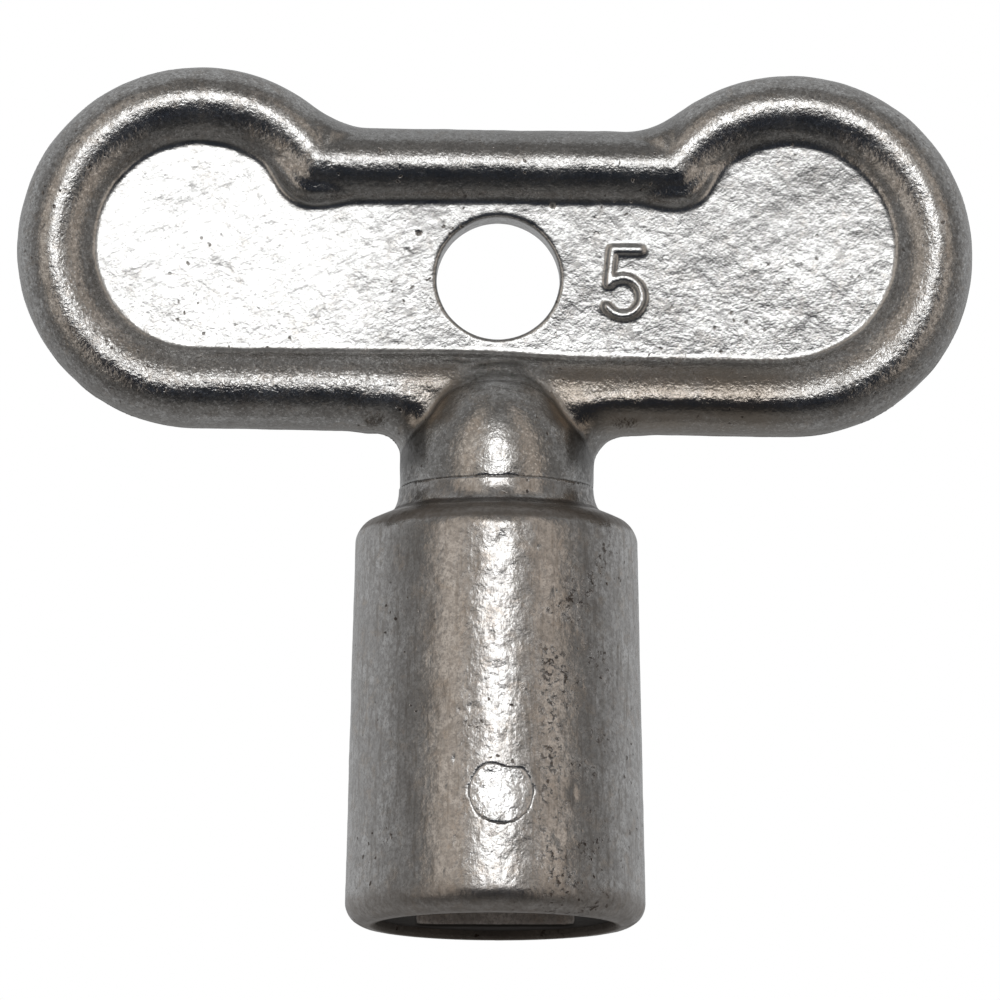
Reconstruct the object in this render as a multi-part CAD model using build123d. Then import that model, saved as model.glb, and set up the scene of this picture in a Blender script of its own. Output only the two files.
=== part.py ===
"""Radiator bleed key: a cast bow riveted into a tapered barrel that carries a pinned steel socket.

Millimetres. +Z runs up the barrel from the mouth to the bow, X along the bow, and -Y is the
marked front. The origin is the centre of the barrel's mouth.
"""

import math
import os

from build123d import *

FRONT = Plane.XZ  # local x is X, local y is Z, normal is -Y

# ---- bow: a round bead along a closed outline, filled by a thinner web
LOBE_X = 9.84  # lobe centre, from the axis
LOBE_Z = 22.62  # lobe centre, above the mouth
LOBE_R = 4.68  # bead centreline radius round a lobe
BEAD_R = 1.40
TOP_Z = 25.32  # centreline of the straight top bar
BOTTOM_Z = LOBE_Z - LOBE_R  # centreline of the lower bar
CORNER_ROUND = 1.90  # bead centreline radius where the top bar turns into a lobe
WEB_T = 1.50
RING_HOLE_R = 2.05
RING_HOLE_Z = 21.63
RING_CUT = 8.0  # length of the ring hole's cutter
HOLE_EDGE = 0.08  # broken edge of the ring hole

# ---- neck, and the riveted tenon under it
NECK_R = 3.20
NECK_Z = 14.63  # the seam, where the neck sits on the barrel's collar
NOSE_Z = 16.62  # where the neck's side and its 45 degree nose would meet
NOSE_ROUND = 0.70  # radius that blends them
NOSE_TOP = 18.80  # flat top of the nose, inside the lower bar
NOSE_EDGE = 0.40
GUSSET_R = 1.10  # concave radius between the neck and the lower bar
SEAM_EDGE = 0.06  # broken edges either side of the seam
TENON_SQ = 4.00
TENON_CORNER = 0.35
TENON_OVERLAP = 0.2  # sunk into the neck and into the rivet head
RIVET_R = 3.20
RIVET_T = 0.90
RIVET_EDGE = 0.30

# ---- barrel
MOUTH_R = 5.00
MOUTH_ROUND = 0.78
SHOULDER_R = 4.68
SHOULDER_Z = 13.335  # where the side and the sloping shoulder would meet
SHOULDER_ROUND = 0.50
COLLAR_Z = 13.85
COLLAR_LOW_R = 3.45
COLLAR_TOP_R = 3.25
COLLAR_FILLET = 0.14
BORE_R = 4.00
BORE_DEPTH = 9.30
RIVET_POCKET_R = 3.35
RIVET_POCKET_Z = 10.50  # roof of the pocket, which the rivet head bears on
TENON_CLEAR = 0.02
TENON_CUT = 6.0  # height of the tenon hole's cutter
CUT_OVER = 1.0  # how far a through cutter starts outside the material

# ---- hardened socket insert, set back from the mouth
INSERT_R = BORE_R - 0.01
INSERT_SETBACK = 0.28
INSERT_TOP = BORE_DEPTH - 0.02
INSERT_EDGE = 0.12
SOCKET_AF = 5.20  # runs on the standard 5 mm square vent spindle
SOCKET_CORNER = 0.45
SOCKET_LEAD = 0.15  # lead-in chamfer round the square

# ---- radial locking pin, in the front of the barrel
PIN_R = 1.05
PIN_X = 0.18  # drilled slightly off the axis
PIN_Z = 3.91
PIN_OUT = 4.91  # flat outer end, as a distance towards -Y
PIN_IN = 2.85
PIN_HOLE_IN = 2.80  # inner end of the hole in the insert
PIN_CLEAR = 0.01
PIN_EDGE = 0.05
PIN_CUT = 3.0  # length of the pin hole's cutter

# ---- raised size mark on the web: a figure 5
MARK_X = 4.35
MARK_Z = 21.53
MARK_W = 1.06  # between stroke centrelines
MARK_H = 2.20
MARK_STROKE = 0.40
MARK_PROUD = 0.18
MARK_ROOT = 0.1  # sunk into the web
BOWL_R = 0.62
BOWL_START = 0.46  # upper end of the bowl, left of its centre
BOWL_END = 0.50  # lower end of the bowl, left of its centre
BAR_RIGHT = 0.86  # end of the top bar, as a share of the half width
STEM_LEFT = 0.80  # top of the stem, as a share of the half width
STEM_FOOT = 0.62  # foot of the stem above the bowl's centre, as a share of BOWL_R

# Centre of the turn from the top bar into the right lobe, and where the turn meets the lobe
BEND_Z = TOP_Z + CORNER_ROUND
BEND_X = LOBE_X - math.sqrt((LOBE_R + CORNER_ROUND) ** 2 - (BEND_Z - LOBE_Z) ** 2)
JOIN_SHARE = LOBE_R / (LOBE_R + CORNER_ROUND)
JOIN_X = LOBE_X + (BEND_X - LOBE_X) * JOIN_SHARE
JOIN_Z = LOBE_Z + (BEND_Z - LOBE_Z) * JOIN_SHARE
MID_ANGLE = (math.atan2(JOIN_Z - BEND_Z, JOIN_X - BEND_X) - math.pi / 2) / 2

# Right half of the bead's centreline: start, middle and end (x, z) of its two arcs
TURN_ARC = [
    (BEND_X, TOP_Z),
    (BEND_X + CORNER_ROUND * math.cos(MID_ANGLE), BEND_Z + CORNER_ROUND * math.sin(MID_ANGLE)),
    (JOIN_X, JOIN_Z),
]
LOBE_ARC = [(JOIN_X, JOIN_Z), (LOBE_X + LOBE_R, LOBE_Z), (LOBE_X, BOTTOM_Z)]


# ---- shared shapes
def closed_face(*points):
    """A face bounded by straight lines."""
    return make_face(Polyline(*points, close=True))


def round_corner(face, x, z, radius):
    """Fillet the one corner of a profile at (x, z)."""
    corner = [v for v in face.vertices() if abs(v.X - x) < 1e-4 and abs(v.Y - z) < 1e-4]
    return fillet(corner, radius)


def turned(face):
    """Turn an (x, z) profile about the barrel's axis."""
    return revolve(FRONT * face, Axis.Z)


def rounded_square(size, corner):
    return RectangleRounded(size, size, corner)


def along_y(x, y, z):
    """Place a shape at a point with its own axis along Y."""
    return Pos(x, y, z) * Rot(90, 0, 0)


def pin_cutter(y):
    """Cutter for the pin hole, centred at y."""
    return along_y(PIN_X, y, PIN_Z) * Cylinder(PIN_R + PIN_CLEAR, PIN_CUT)


# ---- bow
def straight_bead(half_length, z):
    """Bead along X, centred on the barrel's axis."""
    plane = Plane(origin=(-half_length, 0, z), z_dir=(1, 0, 0))
    return plane * Cylinder(
        BEAD_R, 2 * half_length, align=(Align.CENTER, Align.CENTER, Align.MIN)
    )


def bent_bead(points, side):
    """Bead along an arc through three (x, z) points, mirrored when side is -1."""
    path = ThreePointArc(*[(side * x, 0, z) for x, z in points])
    section = Plane(origin=path @ 0, z_dir=path % 0) * Circle(BEAD_R)
    return sweep(section, path=path)


def bow_outline():
    """The bead's centreline as an (x, z) face."""

    def left_arc(points):
        return ThreePointArc(*[(-x, z) for x, z in reversed(points)])

    return make_face([
        Line((-BEND_X, TOP_Z), (BEND_X, TOP_Z)),
        ThreePointArc(*TURN_ARC),
        ThreePointArc(*LOBE_ARC),
        Line((LOBE_X, BOTTOM_Z), (-LOBE_X, BOTTOM_Z)),
        left_arc(LOBE_ARC),
        left_arc(TURN_ARC),
    ])


def gusset_arc():
    """Centreline of the bead that turns from the lower bar down into the neck."""
    radius = GUSSET_R + BEAD_R
    x = NECK_R + GUSSET_R
    z = BOTTOM_Z - radius
    diagonal = math.sqrt(0.5) * radius
    return [(x, BOTTOM_Z), (x - diagonal, z + diagonal), (x - radius, z)]


def build_neck():
    """Neck with a blunt nose that ends inside the lower bar."""
    top_r = NECK_R - (NOSE_TOP - NOSE_Z)
    face = closed_face(
        (0, NECK_Z),
        (NECK_R - SEAM_EDGE, NECK_Z),
        (NECK_R, NECK_Z + SEAM_EDGE),
        (NECK_R, NOSE_Z),
        (top_r, NOSE_TOP),
        (0, NOSE_TOP),
    )
    face = round_corner(face, NECK_R, NOSE_Z, NOSE_ROUND)
    face = round_corner(face, top_r, NOSE_TOP, NOSE_EDGE)
    return turned(face)


def build_tenon():
    height = NECK_Z - RIVET_POCKET_Z + 2 * TENON_OVERLAP
    tenon = extrude(rounded_square(TENON_SQ, TENON_CORNER), height)
    return Pos(0, 0, RIVET_POCKET_Z - TENON_OVERLAP) * tenon


def build_rivet():
    low = RIVET_POCKET_Z - RIVET_T
    return turned(closed_face(
        (0, low),
        (RIVET_R - RIVET_EDGE, low),
        (RIVET_R, low + RIVET_EDGE),
        (RIVET_R, RIVET_POCKET_Z),
        (0, RIVET_POCKET_Z),
    ))


def mark_stroke(start, end):
    """A straight round-ended stroke between two (x, z) points."""
    (x0, z0), (x1, z1) = start, end
    length = math.hypot(x1 - x0, z1 - z0)
    angle = math.degrees(math.atan2(z1 - z0, x1 - x0))
    slot = SlotCenterToCenter(length, MARK_STROKE)
    return Pos((x0 + x1) / 2, (z0 + z1) / 2) * Rot(0, 0, angle) * slot


def mark_face():
    """The figure 5 as an (x, z) face."""
    half_w, half_h = MARK_W / 2, MARK_H / 2
    bowl_x = half_w - BOWL_R
    bowl_z = BOWL_R - half_h
    bowl = ThreePointArc(
        (bowl_x - BOWL_START, bowl_z + math.sqrt(BOWL_R**2 - BOWL_START**2)),
        (half_w, bowl_z),
        (bowl_x - BOWL_END, bowl_z - math.sqrt(BOWL_R**2 - BOWL_END**2)),
    )
    bowl_top = bowl @ 0
    stem_top = (-half_w * STEM_LEFT, half_h)
    stem_foot = (-half_w, bowl_z + STEM_FOOT * BOWL_R)

    face = SlotArc(bowl, MARK_STROKE)
    face += mark_stroke((half_w * BAR_RIGHT, half_h), stem_top)
    face += mark_stroke(stem_top, stem_foot)
    face += mark_stroke(stem_foot, (bowl_top.X, bowl_top.Y))
    return Pos(MARK_X, MARK_Z) * face


def build_bow():
    bow = straight_bead(BEND_X, TOP_Z)
    bow += straight_bead(LOBE_X, BOTTOM_Z)
    for side in (-1, 1):
        bow += bent_bead(TURN_ARC, side)
        bow += bent_bead(LOBE_ARC, side)
    bow += extrude(FRONT * bow_outline(), WEB_T / 2, both=True)
    for side in (-1, 1):
        bow += bent_bead(gusset_arc(), side)

    bow += build_neck()
    bow += build_tenon()
    bow += build_rivet()

    # ring hole through the web, with broken edges that widen outwards
    bow -= along_y(0, 0, RING_HOLE_Z) * Cylinder(RING_HOLE_R, RING_CUT)
    for side in (-1, 1):
        y = side * (WEB_T / 2 - HOLE_EDGE / 2)
        cone = Cone(RING_HOLE_R, RING_HOLE_R + HOLE_EDGE, HOLE_EDGE)
        bow -= Pos(0, y, RING_HOLE_Z) * Rot(-90 * side, 0, 0) * cone

    mark_plane = FRONT.offset(WEB_T / 2 - MARK_ROOT)
    bow += extrude(mark_plane * mark_face(), MARK_PROUD + MARK_ROOT)
    return bow


# ---- barrel, insert and pin
def build_barrel():
    face = closed_face(
        (BORE_R, 0),
        (MOUTH_R, 0),
        (SHOULDER_R, SHOULDER_Z),
        (COLLAR_LOW_R, COLLAR_Z),
        (COLLAR_TOP_R, NECK_Z - SEAM_EDGE),
        (COLLAR_TOP_R - SEAM_EDGE, NECK_Z),
        (0, NECK_Z),
        (0, RIVET_POCKET_Z),
        (RIVET_POCKET_R, RIVET_POCKET_Z),
        (RIVET_POCKET_R, BORE_DEPTH),
        (BORE_R, BORE_DEPTH),
    )
    face = round_corner(face, MOUTH_R, 0, MOUTH_ROUND)
    face = round_corner(face, SHOULDER_R, SHOULDER_Z, SHOULDER_ROUND)
    face = round_corner(face, COLLAR_LOW_R, COLLAR_Z, COLLAR_FILLET)
    barrel = turned(face)
    tenon_hole = rounded_square(TENON_SQ + 2 * TENON_CLEAR, TENON_CORNER)
    barrel -= Pos(0, 0, RIVET_POCKET_Z - CUT_OVER) * extrude(tenon_hole, TENON_CUT)
    barrel -= pin_cutter(-BORE_R)
    return barrel


def build_insert():
    insert = turned(closed_face(
        (0, INSERT_SETBACK),
        (INSERT_R - INSERT_EDGE, INSERT_SETBACK),
        (INSERT_R, INSERT_SETBACK + INSERT_EDGE),
        (INSERT_R, INSERT_TOP - INSERT_EDGE),
        (INSERT_R - INSERT_EDGE, INSERT_TOP),
        (0, INSERT_TOP),
    ))
    square = rounded_square(SOCKET_AF, SOCKET_CORNER)
    insert -= Pos(0, 0, -CUT_OVER) * extrude(square, INSERT_TOP + 2 * CUT_OVER)
    wide = rounded_square(SOCKET_AF + 2 * SOCKET_LEAD, SOCKET_CORNER + SOCKET_LEAD)
    insert -= loft([
        Pos(0, 0, INSERT_SETBACK) * wide,
        Pos(0, 0, INSERT_SETBACK + SOCKET_LEAD) * square,
    ])
    insert -= pin_cutter(-(PIN_HOLE_IN + PIN_CUT / 2))
    return insert


def build_pin():
    pin = Cylinder(PIN_R, PIN_OUT - PIN_IN)
    pin = chamfer(pin.edges().filter_by(GeomType.CIRCLE), PIN_EDGE)
    return along_y(PIN_X, -(PIN_OUT + PIN_IN) / 2, PIN_Z) * pin


PARTS = {
    "bow_handle": build_bow,
    "barrel": build_barrel,
    "socket_insert": build_insert,
    "locking_pin": build_pin,
}

os.makedirs("parts", exist_ok=True)
for name, build in PARTS.items():
    solids = build().solids()
    if len(solids) != 1 or not solids[0].is_valid:
        raise ValueError(f"{name} is not one valid solid")
    solids[0].label = name
    export_step(solids[0], f"parts/{name}.step")
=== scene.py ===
"""Looks for the radiator bleed key: cast, worn pieces built round the CAD frame.

The key stands upright on its barrel's mouth at z = 0, with its axis on Z. The bow, the flat
handle on top, spreads along X. Its marked face and the locking pin's end look to -Y, so the
front is -Y and the right is +X. Lengths are millimetres until a mesh is made.
"""

import itertools
import math

import bpy
import numpy as np
from mathutils import Matrix, Vector


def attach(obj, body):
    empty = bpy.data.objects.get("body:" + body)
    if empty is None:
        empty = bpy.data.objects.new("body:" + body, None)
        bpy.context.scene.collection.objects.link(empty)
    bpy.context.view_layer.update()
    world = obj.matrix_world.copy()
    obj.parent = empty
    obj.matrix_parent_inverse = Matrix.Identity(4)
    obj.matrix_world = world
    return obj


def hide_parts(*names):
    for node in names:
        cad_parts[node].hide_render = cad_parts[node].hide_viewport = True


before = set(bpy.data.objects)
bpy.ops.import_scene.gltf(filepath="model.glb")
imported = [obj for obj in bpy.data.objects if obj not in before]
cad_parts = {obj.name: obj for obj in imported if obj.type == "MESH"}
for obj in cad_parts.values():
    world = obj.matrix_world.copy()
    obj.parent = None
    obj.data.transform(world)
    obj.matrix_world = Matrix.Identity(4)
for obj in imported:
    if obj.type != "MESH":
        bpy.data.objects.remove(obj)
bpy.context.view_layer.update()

MM = 0.001
STEP = 0.08  # mesh pitch

# ------------------------------------------------------------------ design numbers, mm
# bow: two round lobes joined by a straight top bar and lower bar
LOBE_X, LOBE_Z, LOBE_R = 9.84, 22.62, 4.68
TOP_Z = 25.32
BOTTOM_Z = LOBE_Z - LOBE_R
MID_Z = 21.5  # parts the upper bead from the lower
BEAD_R = 1.40
# how far outside its centreline the bead's crest sits
CREST_TOP, CREST_LOBE, CREST_LOW_LEFT, CREST_LOW_RIGHT = 0.08, 0.20, 0.05, 0.29
WEB_T = 1.50
RING_HOLE_R, RING_HOLE_X, RING_HOLE_Z = 2.05, 0.11, 21.63
MARK_X, MARK_Z = 4.38, 21.53
LEAN = math.radians(0.69)  # the bow leans a touch on its neck
LEAN_Z = 22.0  # height it leans about
BOW_SHIFT = 0.08  # and it sits a touch to one side
# where the top bar meets the right lobe, and its angle round that lobe in degrees
CORNER_X = LOBE_X - math.sqrt(LOBE_R**2 - (TOP_Z - LOBE_Z) ** 2)
CORNER_ANGLE = math.degrees(math.atan2(TOP_Z - LOBE_Z, CORNER_X - LOBE_X))
# turned-down ends of the lower bar: side, inner bend radius, lift
BAR_ENDS = ((-1, 0.98, 0.02), (1, 1.34, -0.04))
WEB_PITS = (  # x, z, radius
    (-2.55, 23.10, 0.085), (-2.92, 22.52, 0.07), (-7.05, 24.05, 0.06),
    (1.9, 24.1, 0.06), (9.1, 22.2, 0.05),
)

# neck, with the tenon and rivet head under it
NECK_R, NECK_Z = 3.20, 14.63
NOSE = (  # z, half width across X, half depth across Y
    (14.0, 3.20, 3.20), (15.35, 3.20, 3.18), (15.8, 3.16, 3.13), (16.23, 3.04, 3.06),
    (16.59, 2.80, 2.97), (16.94, 2.53, 2.84), (17.30, 2.34, 2.65), (17.63, 2.13, 2.41),
    (17.86, 1.90, 2.08), (18.06, 1.60, 1.72), (18.24, 1.24, 1.30), (18.42, 0.85, 0.86),
    (18.60, 0.40, 0.40), (20.0, 0.40, 0.40),
)
NOSE_TOP = 18.66
TENON, TENON_CORNER = 2.00, 0.35  # half width, corner radius
RIVET_R, RIVET_Z0, RIVET_Z1 = 3.20, 9.60, 10.50

# barrel, its socket insert and the locking pin through both
MOUTH_R, MOUTH_ROUND = 5.00, 0.78
SHOULDER_R, SHOULDER_Z, SHOULDER_ROUND = 4.68, 13.335, 0.50
SHOULDER_ANGLE = math.radians(23.0)
SIDE_SLOPE = (MOUTH_R - SHOULDER_R) / SHOULDER_Z
BORE_R, BORE_Z = 4.00, 9.30
POCKET_R = 3.35
WRAP_R = 4.8  # radius at which the barrel's skin is unrolled
INSERT_R, INSERT_Z0, INSERT_Z1 = 3.99, 0.28, 9.28
SOCKET, SOCKET_CORNER = 2.60, 0.45  # half width, corner radius
PIN_R, PIN_X, PIN_Z, PIN_IN = 1.05, 0.18, 3.91, 2.85

LATTICE_N = 32
rng = np.random.default_rng(20240621)
LATTICE = rng.random((LATTICE_N, LATTICE_N, LATTICE_N)).astype(np.float32) * 2 - 1
FLAT = (1, 99, 1)  # noise stretch that leaves hardly any change across Y


# ------------------------------------------------------------------ field helpers
# A field takes (N, 3) points and gives a near-distance to a surface, negative inside it.
def waves(points, length, shift=0.0, stretch=(1.0, 1.0, 1.0)):
    """Smooth lattice noise in -1..1; shift picks the pattern."""
    scaled = points / (length * np.asarray(stretch, np.float32)) + np.float32(shift)
    base = np.floor(scaled)
    f = scaled - base
    f = f * f * f * (f * (f * 6 - 15) + 10)
    near = base.astype(np.int32) & (LATTICE_N - 1)
    far = (near + 1) & (LATTICE_N - 1)
    (x0, y0, z0), (x1, y1, z1), (fx, fy, fz) = near.T, far.T, f.T

    def along_x(y, z):
        return LATTICE[x0, y, z] * (1 - fx) + LATTICE[x1, y, z] * fx

    def along_y(z):
        return along_x(y0, z) * (1 - fy) + along_x(y1, z) * fy

    return along_y(z0) * (1 - fz) + along_y(z1) * fz


def blend_min(a, b, width):
    """Union with a soft fillet."""
    h = np.maximum(width - np.abs(a - b), 0.0) / width
    return np.minimum(a, b) - h * h * width * 0.25


def blend_max(a, b, width):
    """Intersection with a soft edge."""
    return -blend_min(-a, -b, width)


def round_max(a, b, radius):
    """Intersection with a rounded edge."""
    inner = np.minimum(np.maximum(a, b), -radius)
    return inner + np.hypot(np.maximum(a + radius, 0.0), np.maximum(b + radius, 0.0))


def smooth(start, end, x):
    """0 at start, 1 at end; start may be the larger."""
    t = np.clip((x - start) / (end - start), 0.0, 1.0)
    return t * t * (3 - 2 * t)


def ridge(offset, width):
    return np.exp(-((offset / width) ** 2))


def segment_distance(x, z, ax, az, bx, bz):
    dx, dz = bx - ax, bz - az
    t = np.clip(((x - ax) * dx + (z - az) * dz) / (dx * dx + dz * dz), 0.0, 1.0)
    return np.hypot(x - ax - t * dx, z - az - t * dz)


def arc_distance(x, z, centre_x, centre_z, radius, start, end):
    """Distance to an arc from start to end, in degrees, with end > start."""
    dx, dz = x - centre_x, z - centre_z
    past_start = np.mod(np.degrees(np.arctan2(dz, dx)) - start, 360.0)
    to_circle = np.abs(np.hypot(dx, dz) - radius)
    to_ends = []
    for angle in (start, end):
        end_x = centre_x + radius * math.cos(math.radians(angle))
        end_z = centre_z + radius * math.sin(math.radians(angle))
        to_ends.append(np.hypot(x - end_x, z - end_z))
    return np.where(past_start <= (end - start), to_circle, np.minimum(*to_ends))


def rounded_square(x, y, half, corner):
    qx, qy = np.abs(x) - half + corner, np.abs(y) - half + corner
    outside = np.hypot(np.maximum(qx, 0), np.maximum(qy, 0))
    return outside + np.minimum(np.maximum(qx, qy), 0) - corner


def disc(r, z, radius, z0, z1, edge):
    """Upright disc with rounded edges; r is the distance from its axis."""
    return round_max(r - radius, np.abs(z - (z0 + z1) / 2) - (z1 - z0) / 2, edge)


# ------------------------------------------------------------------ bow
def mark_distance(x, z):
    """Distance to the centreline of the raised 5."""
    x, z = x - MARK_X, z - MARK_Z
    half_w, half_h, bowl_r = 0.53, 1.10, 0.63
    bowl_start = 0.47  # how far left of the bowl's centre the bowl starts
    bowl_x, bowl_z = half_w - bowl_r, -half_h + bowl_r
    start_x = bowl_x - bowl_start
    start_z = bowl_z + math.sqrt(bowl_r * bowl_r - bowl_start**2)
    start = math.degrees(math.atan2(start_z - bowl_z, start_x - bowl_x))
    flag = half_w * 0.86  # half length of the top stroke
    d = arc_distance(x, z, bowl_x, bowl_z, bowl_r, start - 285.0, start)
    d = np.minimum(d, segment_distance(x, z, start_x, start_z, -flag, half_h))
    return np.minimum(d, segment_distance(x, z, -flag, half_h, flag, half_h))


def bow_coords(x, z):
    """Coordinates in the leaning, shifted bow."""
    c, s = math.cos(LEAN), math.sin(LEAN)
    dx, dz = x + BOW_SHIFT, z - LEAN_Z
    return dx * c - dz * s, dx * s + dz * c + LEAN_Z


def outline(x, z):
    """Distances to the lobes with the lower bar and to the top bar, the side of the outline
    (-1 is inside) and the signed distance to the whole outline."""
    arc = (LOBE_X, LOBE_Z, LOBE_R, -90.0, CORNER_ANGLE)
    lobes = np.minimum(arc_distance(x, z, *arc), arc_distance(-x, z, *arc))
    low = segment_distance(x, z, -LOBE_X, BOTTOM_Z, LOBE_X, BOTTOM_Z)
    top = segment_distance(x, z, -CORNER_X, TOP_Z, CORNER_X, TOP_Z)
    inside = (
        (np.hypot(np.abs(x) - LOBE_X, z - LOBE_Z) < LOBE_R)
        | ((np.abs(x) < LOBE_X) & (z > BOTTOM_Z) & (z < LOBE_Z))
        | ((np.abs(x) < CORNER_X) & (z > BOTTOM_Z) & (z < TOP_Z))
    )
    side = np.where(inside, -1.0, 1.0)
    ring = np.minimum(lobes, low)
    return ring, top, side, side * np.minimum(ring, top)


# the nose's stations, resampled finely and smoothed
NOSE_PITCH = 0.01
NOSE_Z = np.arange(14.0, 20.0, NOSE_PITCH)
KERNEL_HALF, KERNEL_SIGMA = 36, 11.0  # in samples
KERNEL = np.exp(-0.5 * (np.arange(-KERNEL_HALF, KERNEL_HALF + 1) / KERNEL_SIGMA) ** 2)


def nose_profile(column):
    raw = np.interp(NOSE_Z, [row[0] for row in NOSE], [row[column] for row in NOSE])
    return np.convolve(np.pad(raw, KERNEL_HALF, mode="edge"), KERNEL / KERNEL.sum(), mode="valid")


NOSE_X, NOSE_Y = nose_profile(1), nose_profile(2)
NOSE_DX, NOSE_DY = np.gradient(NOSE_X, NOSE_PITCH), np.gradient(NOSE_Y, NOSE_PITCH)


def neck_body(x, y, z):
    half_x, half_y = np.interp(z, NOSE_Z, NOSE_X), np.interp(z, NOSE_Z, NOSE_Y)
    k = np.hypot(x / half_x, y / half_y)
    side = np.clip(np.abs(x) / (np.hypot(x, y) + 1e-6), 0, 1)
    slope = side * np.interp(z, NOSE_Z, NOSE_DX) + (1 - side) * np.interp(z, NOSE_Z, NOSE_DY)
    body = (k - 1) * np.minimum(half_x, half_y) / np.sqrt(1 + slope * slope)
    body = blend_max(body, z - NOSE_TOP, 0.2)
    return blend_max(body, NECK_Z - z, 0.03)


def bar_end(x, y, z, side, inner_r, lift):
    """One end of the lower bar, bent down into the neck's side."""
    bend_r = inner_r + BEAD_R
    dx = (x - side * (NECK_R + inner_r)) * -side
    dz = z - (BOTTOM_Z - bend_r + lift)
    angle = np.degrees(np.arctan2(dz, dx))
    bend = np.hypot(np.hypot(dx, dz) - bend_r, y) - BEAD_R
    tip_x, tip_z = bend_r * math.cos(math.radians(-1)), bend_r * math.sin(math.radians(-1))
    to_tips = np.minimum((dx - tip_x) ** 2 + (dz - tip_z) ** 2, dx**2 + (dz - bend_r) ** 2)
    caps = np.sqrt(to_tips + y * y) - BEAD_R
    # thinner where it runs into the lower bar
    return np.where((angle >= -1) & (angle <= 90), bend, caps) + 0.35 * smooth(17.7, 18.5, z) + 0.04


def bars(p):
    """The bead, the web and the turned-down ends, without the neck."""
    x, y, z = p.T
    bx, bz = bow_coords(x, z)
    ring, top, side, out = outline(bx, bz)

    # the crest wanders round the outline
    lobe = np.where(bz > MID_Z, smooth(5.6, 7.6, np.abs(bx)), smooth(9.0, 11.5, np.abs(bx)))
    low_crest = CREST_LOW_LEFT + (CREST_LOW_RIGHT - CREST_LOW_LEFT) * smooth(-1.5, 4.0, bx)
    crest = CREST_LOBE * lobe + (1 - lobe) * np.where(bz > MID_Z, CREST_TOP, low_crest)
    # the lower right bead is narrower on its inner side
    tuck = 0.20 * (1 - lobe) * smooth(-1.0, 3.5, bx) * (bz < MID_Z)

    def bead(distance):
        q = side * distance - crest
        half = np.where(q > 0, BEAD_R - crest, BEAD_R + (crest - 0.06) / 0.844 - tuck)
        k0 = np.hypot(q / half, y / BEAD_R)
        k1 = np.hypot(q / (half * half), y / (BEAD_R * BEAD_R)) + 1e-9
        return k0 * (k0 - 1) / k1

    fillet = 0.10 + 0.75 * smooth(0.55, 1.30, out) + 0.55 * smooth(-0.55, -1.05, out)
    d = blend_min(bead(ring), bead(top), fillet)

    # web, slightly warped, its front face a little out of true
    warp = 0.020 * waves(p, 6.0, 3.3, FLAT) + 0.006 * waves(p, 1.6, 7.7, FLAT)
    tilt = (-0.037 + 0.043 * smooth(1.0, -7.5, bx)) * (bz - MID_Z) * (y < 0)
    web = np.maximum(np.abs(y - tilt + warp) - WEB_T / 2, out)
    d = blend_min(d, web, 0.16)

    # raised numeral on the front: flat half width, flat half height, rounding
    mark_w, mark_h, mark_round = 0.05, 0.03, 0.075
    over = np.maximum(mark_distance(bx, bz) - mark_w, 0)
    above = np.maximum(np.abs(y + WEB_T / 2 + 0.02) - mark_h, 0)
    d = blend_min(d, np.hypot(over, above) - mark_round, 0.13)

    d = blend_max(d, RING_HOLE_R - np.hypot(bx - RING_HOLE_X, bz - RING_HOLE_Z), 0.14)

    for end in BAR_ENDS:
        fillet = 0.02 + 0.28 * smooth(18.1, 17.2, z) * smooth(15.3, 15.9, z)
        d = blend_min(d, bar_end(x, y, z, *end), fillet)
    return d


def fold_line(p):
    """A cold fold over the front of the neck's nose: 1 along its bottom."""
    x, z = p[:, 0], p[:, 2]
    wobble = 0.09 * waves(p, 0.9, 11.0, FLAT) + 0.04 * waves(p, 0.35, 5.0, FLAT)
    # arch over the nose
    arch = np.abs(np.hypot(x - 0.08, 1.25 * (z - 17.62)) - 1.42 + wobble)
    arch = ridge(arch, 0.15) * smooth(1.15, 0.55, np.abs(x - 0.08)) * (z > 17.9)
    # fainter arc down its right side
    arc = np.abs(np.hypot(x - 0.10, z - 16.70) - 1.86 + wobble * 0.6)
    arc = 0.55 * ridge(arc, 0.07) * smooth(0.45, 0.8, x) * smooth(1.95, 1.5, x) * (z > 16.9)
    # short level line on the left
    line = np.abs(z - 18.86 - 0.05 * x - wobble)
    line = 0.6 * ridge(line, 0.06) * smooth(-2.0, -1.5, x) * smooth(-0.5, -0.9, x)
    return np.clip(arch + arc + line, 0, 1) * (p[:, 1] < 0)


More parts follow.
